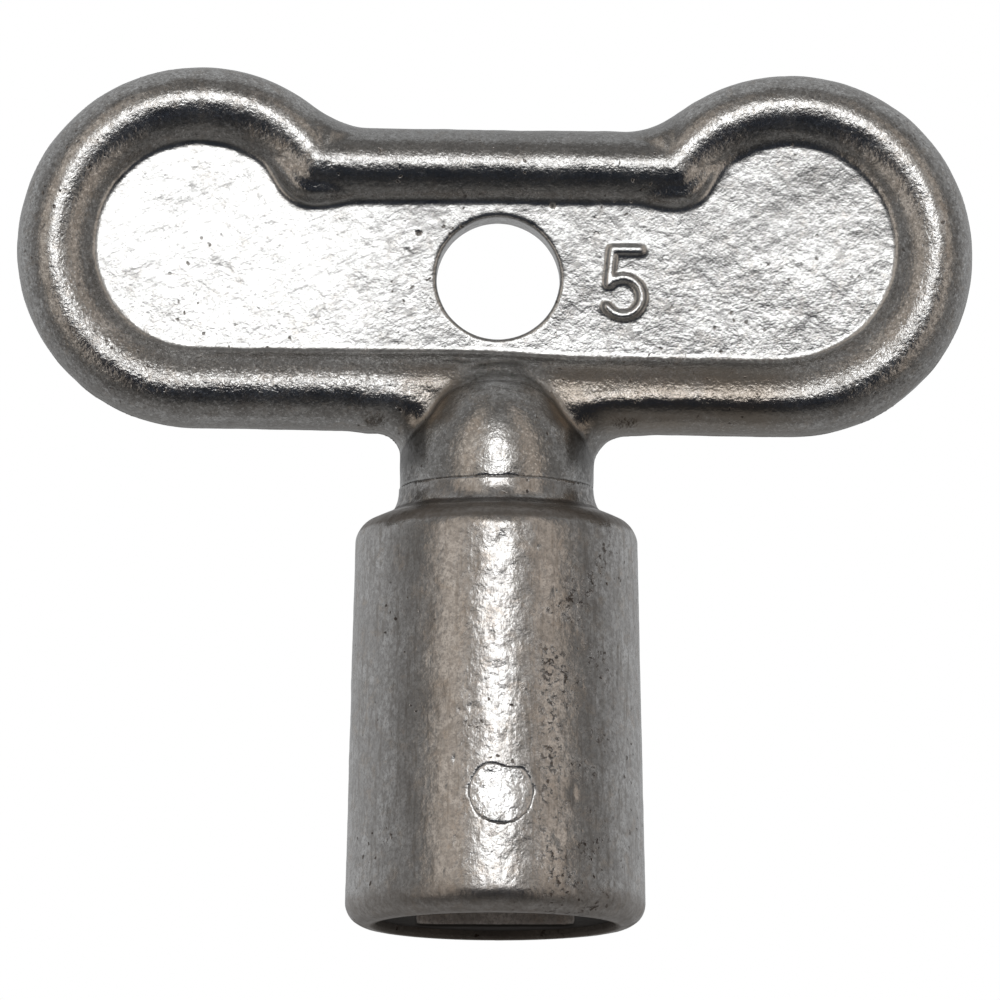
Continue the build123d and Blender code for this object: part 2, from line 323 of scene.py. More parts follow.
def bow_field(p):
    x, y, z = p.T
    bx, bz = bow_coords(x, z)
    out = outline(bx, bz)[3]
    r = np.hypot(x, y)
    d = blend_min(bars(p), neck_body(x, y, z), 0.14 + 0.26 * smooth(17.4, 18.2, z))
    d = d + 0.055 * fold_line(p)

    # parting line round the rim and down the neck, a thin worn fin
    fin = ridge(y + 0.02 * waves(p, 2.5, 1.0), 0.05)
    outer = smooth(1.15, 1.3, out) + smooth(2.9, 3.1, r) * (z < 17.0)
    d = d - fin * np.clip(outer, 0, 1) * (0.018 + 0.016 * waves(p, 0.9, 9.0))

    # skin: slow casting waves, then grain
    d = d - 0.016 * waves(p, 2.6, 2.0) - 0.006 * waves(p, 0.95, 4.0)
    grain = 0.0030 * waves(p, 0.36, 6.0) + 0.0024 * waves(p, 0.20, 8.0)
    d = d - grain

    for pit_x, pit_z, pit_r in WEB_PITS:
        deep = (y + WEB_T / 2 + pit_r * 0.75) ** 2
        d = np.maximum(d, pit_r - np.sqrt((bx - pit_x) ** 2 + (bz - pit_z) ** 2 + deep))

    tenon_ends = np.maximum(z - NECK_Z - 0.5, RIVET_Z0 + 0.2 - z)
    tenon = np.maximum(rounded_square(x, y, TENON, TENON_CORNER), tenon_ends)
    head = disc(r, z, RIVET_R, RIVET_Z0, RIVET_Z1, 0.15)
    return np.minimum(d, np.minimum(tenon, head))


def web_mask(p):
    out = outline(*bow_coords(p[:, 0], p[:, 2]))[3]
    return smooth(-1.02, -1.20, out) * smooth(1.05, 0.95, np.abs(p[:, 1]))


def crease_mask(p):
    """Where the neck meets the bars, and the fold."""
    x, y, z = p.T
    gap = np.abs(neck_body(x, y, z) - bars(p))
    joint = ridge(gap, 0.16) * smooth(16.0, 16.6, z) * 0.8 * smooth(19.2, 18.6, z)
    return np.maximum(joint, fold_line(p))


def cheek_mask(p):
    """The two flats either side of the neck's nose."""
    x, y, z = p.T
    on_neck = smooth(0.06, -0.03, neck_body(x, y, z) - bars(p))
    edge = 2.33 + 0.06 * waves(p, 0.9, 17.0)
    sides = smooth(-0.07, 0.10, np.abs(x) - edge)
    return on_neck * sides * smooth(14.85, 15.5, z) * smooth(18.0, 17.5, z)


# ------------------------------------------------------------------ barrel
def scatter_pits(count, seed):
    """Casting pits: angle from the front, z, radius, depth, stretch along z."""
    draw = np.random.default_rng(seed).uniform
    rows = []
    while len(rows) < count:
        a = draw(-math.pi, math.pi)
        z = draw(1.0, 13.0)
        # more of them on the front's right half and on the back
        front_right = 0.75 * math.exp(-(((a - 0.55) / 0.28) ** 2))
        want = 0.25 + front_right + 0.35 * math.exp(-(((abs(a) - 2.6) / 0.4) ** 2))
        if draw() > want:
            continue
        rows.append((a, z, draw(0.06, 0.15), draw(0.012, 0.042), draw(0.8, 2.2)))
    return rows


BARREL_PITS = scatter_pits(count=120, seed=5)


def press_pits(d, z, angle, skin):
    """Presses the casting pits into d, in place."""
    for pit_angle, pit_z, pit_r, depth, tall in BARREL_PITS:
        near = (np.abs(z - pit_z) < pit_r * tall * 2.2) & (np.abs(angle - pit_angle) < 0.14)
        if not near.any():
            continue
        u = (angle[near] - pit_angle) * WRAP_R / pit_r
        v = (z[near] - pit_z) / (pit_r * tall)
        d[near] = d[near] + skin[near] * depth * np.exp(-(u * u + v * v) * 1.3)


def side_radius(z):
    return MOUTH_R - SIDE_SLOPE * z


def from_pin_axis(x, z):
    return np.hypot(x - PIN_X, z - PIN_Z)


def barrel_body(p):
    """The barrel without its pin hole."""
    x, y, z = p.T
    r = np.hypot(x, y)
    side = (r - side_radius(z)) / math.hypot(1.0, SIDE_SLOPE)
    d = round_max(side, -z, MOUTH_ROUND)
    # sloping shoulder
    out, up = r - SHOULDER_R, z - SHOULDER_Z
    cone = out * math.sin(SHOULDER_ANGLE) + up * math.cos(SHOULDER_ANGLE)
    d = round_max(d, cone, SHOULDER_ROUND)
    # collar under the neck, flaring downwards
    t = np.clip((NECK_Z - z) / 0.80, 0.0, 1.4)
    collar = (r - (3.235 + 0.225 * t**2.4)) / 1.06
    collar = np.maximum(blend_max(collar, z - NECK_Z, 0.03), 13.0 - z)
    d = blend_min(d, collar, 0.07)

    # skin: casting waves, then grain, on the unrolled outside
    skin = smooth(BORE_R + 0.25, BORE_R + 0.55, r) + smooth(11.6, 12.2, z)
    skin = np.clip(skin, 0, 1)
    angle = np.arctan2(x, -y)
    wrap = np.stack([angle * WRAP_R, r * 0.3, z], axis=1).astype(np.float32)
    slow = 0.020 * waves(wrap, 2.1, 1.0, (1, 1, 2.6))
    d = d - skin * (slow + 0.008 * waves(wrap, 0.85, 3.0, (1, 1, 1.7)))
    grain = 0.0042 * waves(wrap, 0.42, 5.0, (1, 1, 1.3))
    d = d - skin * (grain + 0.0030 * waves(wrap, 0.21, 7.0))
    # worn patch down the front
    front = ridge(wrap[:, 0] - 0.35, 0.95) * smooth(0.7, 1.4, z) * smooth(13.0, 12.2, z)
    wear = 0.012 * waves(wrap, 0.62, 12.0, (1, 1, 0.8))
    d = d - skin * front * (wear + 0.0055 * waves(wrap, 0.27, 14.0))
    # parting lines on both sides
    line = ridge(y + 0.03 * waves(p, 2.0, 21.0), 0.06) * (z < 13.2)
    d = d + skin * line * (0.012 + 0.020 * waves(p, 0.8, 23.0))
    press_pits(d, z, angle, skin)

    # bore, then the pocket and tenon hole above it
    bore = np.maximum(r - BORE_R, z - BORE_Z)
    d = blend_max(d, -bore, 0.10)
    pocket = np.maximum(r - POCKET_R, z - RIVET_Z1)
    hole = np.maximum(rounded_square(x, y, TENON + 0.02, TENON_CORNER), z - 20.0)
    pocket = np.maximum(pocket, BORE_Z - 1.0 - z)
    return np.maximum(d, -np.minimum(pocket, np.maximum(hole, RIVET_Z1 - 1.0 - z)))


def smeared(p):
    """Positive where the barrel's skin was worn over the top edge of the pin."""
    rise = p[:, 2] - PIN_Z - 0.84 + 0.10 * (p[:, 0] - PIN_X)
    return rise + 0.10 * waves(p, 0.50, 19.0, FLAT)


def barrel_field(p):
    x, y, z = p.T
    pin_hole = np.maximum(from_pin_axis(x, z) - PIN_R + 0.03, y)
    lip = np.maximum(-smeared(p), y + 4.52)
    return np.maximum(barrel_body(p), -np.maximum(pin_hole, -lip))


# ------------------------------------------------------------------ insert and pin
def insert_field(p):
    x, y, z = p.T
    d = disc(np.hypot(x, y), z, INSERT_R, INSERT_Z0, INSERT_Z1, 0.12)
    socket = -rounded_square(x, y, SOCKET, SOCKET_CORNER)
    socket = socket + 0.010 * waves(p, 1.2, 3.0, (1, 1, 3))
    d = blend_max(d, socket, 0.16)
    d = d - 0.006 * waves(p, 0.8, 5.0) * smooth(1.0, 0.6, z)
    pin_hole = np.maximum(from_pin_axis(x, z) - PIN_R - 0.006, y + 2.80)
    return np.maximum(d, -pin_hole)


def pin_field(p):
    x, y, z = p.T
    # filed back to the barrel's own curve, then hammered
    proud = 0.014 + 0.050 * smooth(0.7, -1.0, z - PIN_Z + 0.25 * (x - PIN_X))
    proud = proud - 0.36 * smooth(0.03, 0.12, smeared(p))
    face = np.hypot(x, y) - side_radius(z) - proud
    face = np.where(y < 0, face, -5.0)
    face = face - 0.014 * waves(p, 0.75, 1.0) - 0.008 * waves(p, 0.28, 2.0)
    # the shank swells a touch at its outer end
    shank = from_pin_axis(x, z) - PIN_R + 0.03 - 0.045 * smooth(-4.62, -4.72, y)
    return round_max(round_max(shank, face, 0.05), y + PIN_IN, 0.05)


# ------------------------------------------------------------------ field to mesh
CORNERS = list(itertools.product((0, 1), repeat=3))


def chunks(rows, size):
    return np.array_split(rows, max(1, len(rows) // size))


def sample_field(field, low, high, pitch):
    """Samples every grid point near the surface; elsewhere a block shares its centre's value."""
    block = 4
    width = pitch * block
    blocks = np.ceil((high - low) / width).astype(int)
    axes = [low[i] + (np.arange(blocks[i]) + 0.5) * width for i in range(3)]
    centres = np.stack(np.meshgrid(*axes, indexing="ij"), axis=-1).reshape(-1, 3)
    coarse = np.concatenate([field(c.astype(np.float32)) for c in chunks(centres, 400000)])
    near = np.abs(coarse) < 0.87 * width * 1.25 + pitch + 0.06
    samples = coarse.reshape(blocks).astype(np.float32)
    for axis in range(3):
        samples = np.repeat(samples, block, axis)
    within = np.array(list(itertools.product(range(block), repeat=3)))
    for part in chunks(np.argwhere(near.reshape(blocks)), 6000):
        index = (part[:, None, :] * block + within[None]).reshape(-1, 3)
        samples[tuple(index.T)] = field((low + index * pitch).astype(np.float32))
    return samples


def surface_nets(samples):
    """One vertex, in grid units, per cell that the surface crosses; quads round crossed edges."""
    size = samples.shape
    inside = samples < 0
    count = np.zeros(tuple(n - 1 for n in size), np.int8)
    for a, b, c in CORNERS:
        count += inside[a : size[0] - 1 + a, b : size[1] - 1 + b, c : size[2] - 1 + c]
    active = (count > 0) & (count < 8)
    cells = np.argwhere(active)
    vertex_id = np.full(active.shape, -1, np.int32)
    vertex_id[active] = np.arange(len(cells))

    total = np.zeros((len(cells), 3))
    crossings = np.zeros(len(cells))
    values = {corner: samples[tuple((cells + corner).T)] for corner in CORNERS}
    for corner in CORNERS:
        for axis in range(3):
            if corner[axis]:
                continue
            other = tuple(corner[i] + (i == axis) for i in range(3))
            f0, f1 = values[corner], values[other]
            cross = (f0 < 0) != (f1 < 0)
            t = np.where(cross, f0 / np.where(f0 == f1, 1, f0 - f1), 0)
            point = np.repeat(np.array(corner, float)[None], len(cells), 0)
            point[:, axis] += t
            total += point * cross[:, None]
            crossings += cross
    vertices = cells + total / crossings[:, None]

    def vertex(cell):
        return vertex_id[tuple(cell.T)]

    quads = []
    for axis in range(3):
        lower = [slice(1, n - 1) for n in size]
        upper = list(lower)
        lower[axis] = slice(0, size[axis] - 1)
        upper[axis] = slice(1, size[axis])
        first = np.array([1, 1, 1])
        first[axis] = 0
        edge = np.argwhere(inside[tuple(lower)] != inside[tuple(upper)]) + first
        outward = inside[tuple(edge.T)]
        step1, step2 = np.eye(3, dtype=int)[[(axis + 1) % 3, (axis + 2) % 3]]
        ring = (edge - step1 - step2, edge - step2, edge, edge - step1)
        quad = np.stack([vertex(cell) for cell in ring], axis=1)
        quad[~outward] = quad[~outward][:, ::-1]
        quads.append(quad)
    return vertices, np.concatenate(quads)


def field_mesh(field, low, high, pitch):
    """Returns vertices on the field's zero set, quads, and the field's gradients."""
    low, high = np.array(low, float), np.array(high, float)
    vertices, quads = surface_nets(sample_field(field, low, high, pitch))
    vertices = low + vertices * pitch
    reach = pitch * 0.35
    for _ in range(2):
        gradient = np.empty_like(vertices)
        value = field(vertices.astype(np.float32))
        for i in range(3):
            probe = vertices.copy()
            probe[:, i] += reach
            ahead = field(probe.astype(np.float32))
            probe[:, i] -= 2 * reach
            gradient[:, i] = (ahead - field(probe.astype(np.float32))) / (2 * reach)
        steepness = (gradient * gradient).sum(1)
        move = -(value / np.maximum(steepness, 0.25))[:, None] * gradient
        length = np.linalg.norm(move, axis=1)
        move *= np.minimum(1, 0.5 * pitch / np.maximum(length, 1e-9))[:, None]
        vertices += move
    return vertices, quads, gradient


def make_piece(name, node, field, low, high, pitch=STEP, around=None, masks=()):
    """Meshes a field in place of a CAD node; around is the field that encloses hollows."""
    vertices, quads, gradient = field_mesh(field, low, high, pitch)
    mesh = bpy.data.meshes.new(name)
    mesh.vertices.add(len(vertices))
    mesh.vertices.foreach_set("co", (vertices * MM).astype(np.float32).ravel())
    mesh.loops.add(len(quads) * 4)
    mesh.loops.foreach_set("vertex_index", quads.astype(np.int32).ravel())
    mesh.polygons.add(len(quads))
    mesh.polygons.foreach_set("loop_start", np.arange(0, len(quads) * 4, 4, dtype=np.int32))
    mesh.polygons.foreach_set("use_smooth", np.ones(len(quads), bool))

    # hollows and edges, from the field itself, drive grime with painted shade, and wear, in the
    # material
    normals = gradient / np.maximum(np.linalg.norm(gradient, axis=1), 1e-9)[:, None]
    hollow = np.zeros(len(vertices))
    for reach in (0.25, 0.7):
        gap = (around or field)((vertices + normals * reach).astype(np.float32))
        hollow += 0.5 * np.clip(1 - gap / reach, 0, 1)
    depth = 0.22
    sharp = np.clip(1 + field((vertices - normals * depth).astype(np.float32)) / depth, 0, 1)
    layers = [("hollow", hollow), ("sharp", sharp)]
    layers += [(key, mask(vertices.astype(np.float32))) for key, mask in masks]
    for key, values in layers:
        attribute = mesh.attributes.new(key, "FLOAT", "POINT")
        attribute.data.foreach_set("value", values.astype(np.float32))
    mesh.update()
    mesh.validate()
    obj = bpy.data.objects.new(name, mesh)
    bpy.context.scene.collection.objects.link(obj)
    mesh.materials.append(MATERIALS[node])
    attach(obj, "root")
    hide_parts(node)


# ------------------------------------------------------------------ node helpers
class Graph:
    """Short calls that add nodes; any value may be a number, a tuple or a socket."""

    def __init__(self, tree):
        self.tree = tree
        tree.nodes.clear()

    def link(self, output, socket):
        self.tree.links.new(output, socket)

    def add(self, kind, inputs=None, **properties):
        node = self.tree.nodes.new(kind)
        for key, value in properties.items():
            setattr(node, key, value)
        for key, value in (inputs or {}).items():
            socket = node.inputs[key]
            if isinstance(value, bpy.types.NodeSocket):
                self.link(value, socket)
            else:
                socket.default_value = (*value, 1) if socket.type == "RGBA" else value
        return node

    def math(self, operation, a, b=0.0, clamp=False):
        inputs = {0: a, 1: b, 2: 0.0}
        node = self.add("ShaderNodeMath", inputs, operation=operation, use_clamp=clamp)
        return node.outputs[0]

    def plus(self, a, b):
        return self.math("ADD", a, b)

    def times(self, first, *others):
        for other in others:
            first = self.math("MULTIPLY", first, other)
        return first

    def absolute(self, x):
        return self.math("ABSOLUTE", x)

    def vector(self, operation, a, b=(0, 0, 0), scale=None):
        inputs = {0: a, 1: b}
        if scale is not None:
            inputs["Scale"] = scale
        node = self.add("ShaderNodeVectorMath", inputs, operation=operation)
        return node.outputs["Value" if operation in ("DOT_PRODUCT", "LENGTH") else "Vector"]

    def split(self, vector):
        return self.add("ShaderNodeSeparateXYZ", {0: vector}).outputs

    def linear(self, x, span, to=(0.0, 1.0), curve="LINEAR"):
        """Maps span onto to, clamped."""
        inputs = dict(enumerate((x, *span, *to)))
        node = self.add("ShaderNodeMapRange", inputs, interpolation_type=curve, clamp=True)
        return node.outputs[0]

    def smooth(self, x, span, to=(0.0, 1.0)):
        return self.linear(x, span, to, "SMOOTHSTEP")

    def window(self, x, start, full, full_end, end):
        """Rises from start to full, then falls from full_end to end."""
        return self.times(self.smooth(x, (start, full)), self.smooth(x, (end, full_end)))

    def mix(self, factor, a, b, mode="MIX"):
        inputs = {0: factor, 6: a, 7: b}
        return self.add("ShaderNodeMix", inputs, data_type="RGBA", blend_type=mode).outputs[2]

    def noise(self, vector, scale, detail=2.0, rough=0.5, distort=0.0, output="Fac"):
        inputs = {"Vector": vector, "Scale": scale, "Detail": detail, "Roughness": rough}
        inputs["Distortion"] = distort
        return self.add("ShaderNodeTexNoise", inputs).outputs[output]

    def voronoi(self, vector, scale):
        inputs = {"Vector": vector, "Scale": scale}
        return self.add("ShaderNodeTexVoronoi", inputs).outputs["Distance"]

    def attribute(self, name):
        return self.add("ShaderNodeAttribute", attribute_name=name).outputs["Fac"]


# ------------------------------------------------------------------ materials
class CastMetal(Graph):
    """Worn nickel-grey casting: blotched tarnish, fine grain, dark dirt with painted shade, brighter
    edges.
    """

    def __init__(self, name, tone, seed, warmth=0.5):
        self.material = bpy.data.materials.new(name)
        self.material.use_nodes = True
        super().__init__(self.material.node_tree)
        self.tone = tone
        position = self.add("ShaderNodeTexCoord").outputs["Object"]
        self.mm = self.vector("SCALE", position, scale=1000.0)
        self.spot = p = self.vector("ADD", self.mm, (seed * 13.7, seed * 7.3, seed * 3.1))
        self.blotch = self.noise(p, 0.8, detail=5.0, rough=0.65, distort=0.5)
        tan_spot = self.vector("ADD", p, (7.1, 2.3, 9.7))
        self.tan = self.noise(tan_spot, 1.6, detail=4.0, rough=0.7, distort=0.3)
        self.fine = self.noise(p, 5.5, detail=3.0, rough=0.65)
        self.micro = self.noise(p, 13.0, rough=0.6)
        self.matte = 0.0  # roughness added by stains

        blotches = self.smooth(self.blotch, (0.38, 0.64))
        self.colour = self.mix(blotches, self.tint(0.84, 0.83, 0.82), self.tint(1.13))
        self.stain(self.smooth(self.tan, (0.50, 0.68), to=(0.0, warmth)), self.tint(0.86, 0.76, 0.67))
        self.stain(self.smooth(self.fine, (0.42, 0.64), to=(0.0, 0.72)), self.tint(0.62, 0.60, 0.585))
        self.stain(self.smooth(self.micro, (0.50, 0.66), to=(0.0, 0.55)), self.tint(0.50))

    def tint(self, *factors):
        """The base tone times one factor, or one per channel."""
        return tuple(c * f for c, f in zip(self.tone, factors * 3))

    def stain(self, mask, colour):
        self.colour = self.mix(mask, self.colour, colour)

    def relief(self, fine, micro, coarse=0.014):
        """Bump height in mm from three sizes of grain."""
        coarse_spot = self.vector("ADD", self.spot, (3.1, 8.3, 1.7))
        coarse_noise = self.noise(coarse_spot, 2.6, rough=0.55)
        height = self.times(self.math("SUBTRACT", self.fine, 0.5), fine)
        for noise, amount in ((coarse_noise, coarse), (self.micro, micro)):
            height = self.plus(height, self.times(self.math("SUBTRACT", noise, 0.5), amount))
        return height

    def facets(self, height, amount):
        return self.plus(height, self.times(self.voronoi(self.spot, 5.2), amount))

    def finish(self, height, rough, speck, grime_and_shade_amount=0.7, rust=None, down_shade=False, polish=None):
        """Specks, grime with painted shade in hollows, and worn edges; with the down-facing flag set,
        painted shade goes on the faces that look down instead.
        """
        p = self.spot
        # pinpoint dark specks, thicker in patches
        jitter = self.vector("SCALE", self.noise(p, 3.0, output="Color"), scale=0.35)
        specks = self.smooth(self.voronoi(self.vector("ADD", p, jitter), 2.4), (0.17, 0.08))
        specks = self.times(specks, self.smooth(self.noise(p, 0.42), (0.50, 0.62)))
        if rust is not None:
            specks = self.math("MAXIMUM", specks, rust)
        self.stain(self.times(specks, speck), (0.050, 0.029, 0.018))

        if down_shade:
            # painted shade: faces that look down are darkened as if unlit
            normal = self.split(self.add("ShaderNodeTexCoord").outputs["Normal"])
            down = self.smooth(normal[2], (-0.20, -0.60))
            grime_and_shade = self.times(self.math("ADD", down, 0.06, clamp=True), 1.0)
            grime_and_shade_colour, clean_metallic = (0.030, 0.025, 0.021), 0.45
        else:  # grime settles where the surface is enclosed
            # painted shade as well as grime: the hollow mask darkens enclosed spots the way occlusion
            # would
            patches = self.noise(p, 1.7, detail=4.0, rough=0.65)
            patches = self.smooth(patches, (0.25, 0.70), to=(0.45, 1.0))
            enclosed = self.smooth(self.attribute("hollow"), (0.13, 0.50))
            grime_and_shade = self.times(enclosed, patches)
            grime_and_shade_colour, clean_metallic = (0.085, 0.075, 0.064), 1.0
        self.stain(self.times(grime_and_shade, grime_and_shade_amount), grime_and_shade_colour)
        sharp = self.smooth(self.attribute("sharp"), (0.34, 0.75))
        edge = self.times(sharp, self.smooth(self.fine, (0.35, 0.60)))
        self.stain(self.times(edge, 0.40), (0.80, 0.80, 0.80))
        metallic = self.linear(self.times(grime_and_shade, grime_and_shade_amount), (0.0, 1.0), to=(clean_metallic, 0.45))

        rough = self.plus(rough, self.linear(self.blotch, (0.3, 0.7), to=(-0.03, 0.04)))
        rough = self.plus(rough, self.linear(self.fine, (0.3, 0.7), to=(-0.03, 0.05)))
        rough = self.plus(rough, self.times(self.smooth(self.tan, (0.50, 0.68)), 0.07))
        rough = self.plus(rough, self.times(grime_and_shade, 0.30))
        rough = self.plus(rough, self.matte)
        if polish is not None:
            rough = self.math("SUBTRACT", rough, polish)

        height = self.math("SUBTRACT", height, self.times(specks, 0.020 * speck))
        bump = self.add("ShaderNodeBump", {"Strength": 1.0, "Distance": MM, "Height": height})
        surface = {"Base Color": self.colour, "Metallic": metallic, "Roughness": rough}
        surface["Normal"] = bump.outputs[0]
        shader = self.add("ShaderNodeBsdfPrincipled", surface)
        self.add("ShaderNodeOutputMaterial", {0: shader.outputs[0]})
        return self.material


def bow_metal():
    g = CastMetal("cast_bow_metal", tone=(0.58, 0.575, 0.565), seed=1)
    times, smooth, p, fine = g.times, g.smooth, g.spot, g.fine
    x, y, z = g.split(g.mm)

    # the flat web wore brighter than the bead, then got scratched, most left of the ring hole
    web = g.attribute("web")
    g.stain(times(web, 0.40), (0.64, 0.645, 0.645))
    turn = {"Vector": p, "Angle": math.radians(24)}
    turned = g.add("ShaderNodeVectorRotate", turn, rotation_type="Y_AXIS").outputs[0]
    turned = g.vector("MULTIPLY", turned, (0.30, 1.0, 1.6))
    scratch = g.noise(turned, 5.0, detail=3.0, rough=0.62, distort=0.25)
    near_hole = g.window(x, -6.0, -3.0, -2.0, -0.5)
    scratch = g.plus(scratch, times(near_hole, 0.075))
    g.stain(times(web, smooth(scratch, (0.55, 0.68), to=(0.0, 0.60))), g.tint(0.42))

    # gritty bead with bright grains, and painted shade along its edge where it turns away from the
    # front
    bead = g.math("SUBTRACT", 1.0, web)
    gritty = times(bead, smooth(z, (16.9, 17.6), to=(0.45, 1.0)))
    grit_spot = g.vector("ADD", p, (5.5, 1.1, 4.4))
    grit = g.noise(grit_spot, 9.0, detail=3.0, rough=0.75, distort=0.2)
    g.stain(times(gritty, smooth(grit, (0.54, 0.68), to=(0.0, 0.62))), g.tint(0.26, 0.25, 0.24))
    g.stain(times(bead, smooth(grit, (0.45, 0.35), to=(0.0, 0.70))), (0.90, 0.90, 0.90))
    # painted shade on the bead's outer rim
    side = times(smooth(g.absolute(y), (0.95, 0.25)), bead)
    g.stain(times(side, 0.55), g.tint(0.62, 0.60, 0.58))

    # painted shade on the cheeks either side of the nose, in the creases where the neck meets the
    # bars, and along the fold
    cheek, crease = g.attribute("cheek"), g.attribute("crease")
    g.stain(times(cheek, smooth(fine, (0.30, 0.60), to=(0.92, 0.60))), (0.105, 0.100, 0.097))
    g.stain(times(crease, smooth(fine, (0.30, 0.60), to=(0.95, 0.55))), (0.085, 0.082, 0.075))
    g.matte = times(g.math("MAXIMUM", cheek, crease), 0.16)

    # painted shade on the flanks of the neck, wider at its foot
    flank = times(smooth(g.absolute(x), (3.15, 2.95)), smooth(z, (17.6, 16.6)))
    flank = times(flank, smooth(g.absolute(x), (2.45, 2.85)))
    foot = times(smooth(z, (16.2, 15.6)), 1.0)
    foot = times(smooth(g.absolute(x), (2.45, 2.95)), foot)
    flank = g.math("MAXIMUM", flank, foot)
    g.stain(times(flank, smooth(fine, (0.35, 0.62), to=(0.40, 0.85))), (0.14, 0.135, 0.13))

    # painted shade: the top bar is darker, which dims its highlight
    top_bar = times(smooth(z, (24.0, 24.6)), smooth(g.absolute(x), (6.6, 5.8)))
    g.stain(times(top_bar, 0.42), g.tint(0.56))

    # tarnish on the lower bar, right of the neck and, fainter, on the left
    right = times(g.window(x, 1.3, 2.2, 8.5, 11.0), smooth(z, (18.85, 18.45)))
    left = g.window(x, -3.6, -2.5, -1.6, -1.0)
    left = times(left, smooth(z, (18.85, 18.45), to=(0.0, 0.75)))
    dull = times(g.math("MAXIMUM", right, left), smooth(z, (16.2, 16.8)))
    dull = times(dull, smooth(g.blotch, (0.30, 0.60), to=(0.55, 0.92)))
    g.stain(dull, g.tint(0.60, 0.53, 0.46))

    # relief: smoother towards the top, on the neck and on the web
    height = g.relief(fine=0.019, micro=0.0080, coarse=0.019)
    height = times(height, smooth(z, (19.5, 23.5), to=(1.35, 0.80)))
    height = times(height, smooth(z, (17.0, 18.0), to=(0.52, 1.0)))
    web_height = smooth(x, (-4.0, 3.0), to=(0.40, 0.46))
    height = times(height, g.linear(web, (0.0, 1.0), to=(1.0, web_height)))
    neck_polish = smooth(z, (17.4, 16.8), to=(0.0, 0.035))
    return g.finish(height, rough=0.18, speck=0.6, polish=neck_polish)


# bands of painted shade round the barrel, in the collar's crevice, on the shoulder's rounding and on
# the mouth's rounded edge: start, full, full end and end in z, amount, colour
BARREL_BANDS = (
    ((13.64, 13.74, 13.88, 13.96), 0.70, (0.07, 0.055, 0.045)),
    ((13.02, 13.18, 13.60, 13.70), 0.66, (0.18, 0.15, 0.125)),
    ((-1.0, -0.9, 0.55, 1.15), 0.50, (0.27, 0.235, 0.205)),
    ((-1.0, -0.9, 0.05, 0.22), 0.35, (0.16, 0.135, 0.115)),
)


def barrel_metal():
    g = CastMetal("cast_barrel_metal", tone=(0.66, 0.65, 0.64), seed=2, warmth=0.65)
    times, smooth, p, fine = g.times, g.smooth, g.spot, g.fine
    x, y, z = g.split(g.mm)

    # upright streaks
    streak = 0.6
    streaks = g.noise(g.vector("MULTIPLY", p, (1.0, 1.0, 0.13)), 5.0, detail=4.0, rough=0.7)
    g.stain(smooth(streaks, (0.50, 0.66), to=(0.0, streak)), g.tint(0.50, 0.47, 0.44))

    # painted shade inside the mouth and on the shoulder's sides beside the collar, and dirt along the
    # parting lines
    radius = g.math("SQRT", g.plus(times(x, x), times(y, y)))
    # painted shade: darker inside the bore near the mouth
    inner = times(smooth(radius, (4.22, 4.06)), smooth(z, (8.0, 7.0)), 0.88)
    g.stain(inner, (0.030, 0.026, 0.022))
    g.matte = g.plus(g.matte, times(inner, 0.3))
    # painted shade on the shoulder either side of the collar
    shoulder = times(smooth(g.absolute(x), (2.35, 2.95)), smooth(z, (13.72, 13.84)))
    shoulder = times(shoulder, smooth(fine, (0.35, 0.60), to=(0.25, 0.85)))
    g.stain(shoulder, (0.16, 0.152, 0.145))
    seam = smooth(g.absolute(y), (0.30, 0.10))
    seam = times(seam, smooth(fine, (0.40, 0.60), to=(0.15, 0.60)))
    g.stain(seam, (0.14, 0.125, 0.11))
    # each band is painted shade, darkening and dulling the barrel at those heights
    for heights, amount, shade in BARREL_BANDS:
        ragged_z = g.plus(z, times(g.math("SUBTRACT", g.blotch, 0.5), 0.25))
        band = times(g.window(ragged_z, *heights), amount)
        g.stain(band, shade)
        g.matte = g.plus(g.matte, times(band, 0.25))

    # clumps of rust down the right, thicker towards the mouth
    area = times(g.window(x, 1.2, 1.8, 3.4, 4.1), smooth(z, (13.3, 12.5)))
    patches = g.plus(g.noise(p, 0.75), g.linear(z, (11.0, 3.0), to=(-0.03, 0.06)))
    area = times(area, smooth(patches, (0.45, 0.60)))
    clumps = g.noise(p, 5.0, detail=4.0, rough=0.70, distort=0.3)
    rust = times(area, smooth(clumps, (0.53, 0.635), to=(0.0, 0.95)))

    height = g.relief(fine=0.012, micro=0.0042, coarse=0.017)
    height = g.facets(height, 0.003)
    height = g.plus(height, times(g.math("SUBTRACT", streaks, 0.5), 0.008 * streak))
    return g.finish(height, rough=0.19, speck=0.85, rust=rust)


def insert_metal():
    g = CastMetal("socket_steel", tone=(0.70, 0.66, 0.63), seed=3)
    height = g.relief(fine=0.016, micro=0.004)
    # the insert's faces that look down get painted shade
    return g.finish(height, rough=0.50, speck=0.6, grime_and_shade_amount=1.0, down_shade=True)


def pin_metal():
    g = CastMetal("pin_steel", tone=(0.76, 0.76, 0.76), seed=4, warmth=0.2)
    height = g.facets(g.relief(fine=0.016, micro=0.005, coarse=0.03), 0.004)
    return g.finish(height, rough=0.16, speck=0.3, grime_and_shade_amount=0.2)


MATERIALS = {
    "bow_handle": bow_metal(),
    "barrel": barrel_metal(),
    "socket_insert": insert_metal(),
    "locking_pin": pin_metal(),
}

